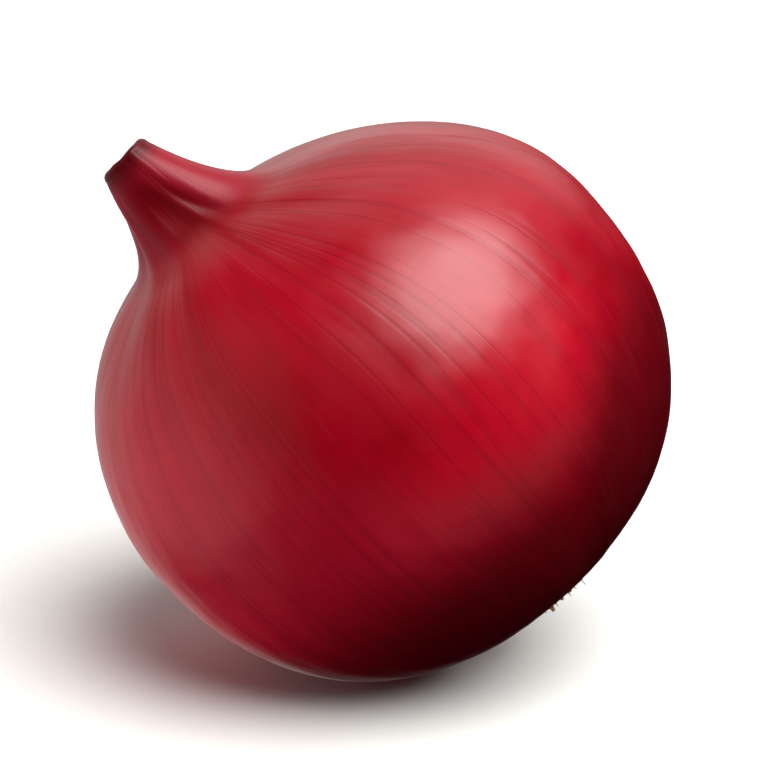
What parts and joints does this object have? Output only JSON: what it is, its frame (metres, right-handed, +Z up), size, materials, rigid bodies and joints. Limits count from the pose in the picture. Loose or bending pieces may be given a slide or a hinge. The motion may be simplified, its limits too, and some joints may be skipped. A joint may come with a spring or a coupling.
{
  "type": "red onion",
  "caption": "Whole red onion with its dry skin on: a round bulb with a pinched neck and a corky root plate, lying tilted on a small flat spot.",
  "frame": {"origin": "middle of the flat spot under the bulb, on the surface that the onion lies on", "axes": "+Z up; the bulb's own axis lies in the XZ plane, with the neck up towards -X, 41 degrees from vertical, and the root end down towards +X"},
  "size_m": [0.0752, 0.0741, 0.0717],
  "materials": {
    "dry_skin": "satin",
    "root_cork": "matte"
  },
  "bodies": {
    "root": {"bulb": "dry_skin", "root_plate": "root_cork"}
  },
  "joints": []
}
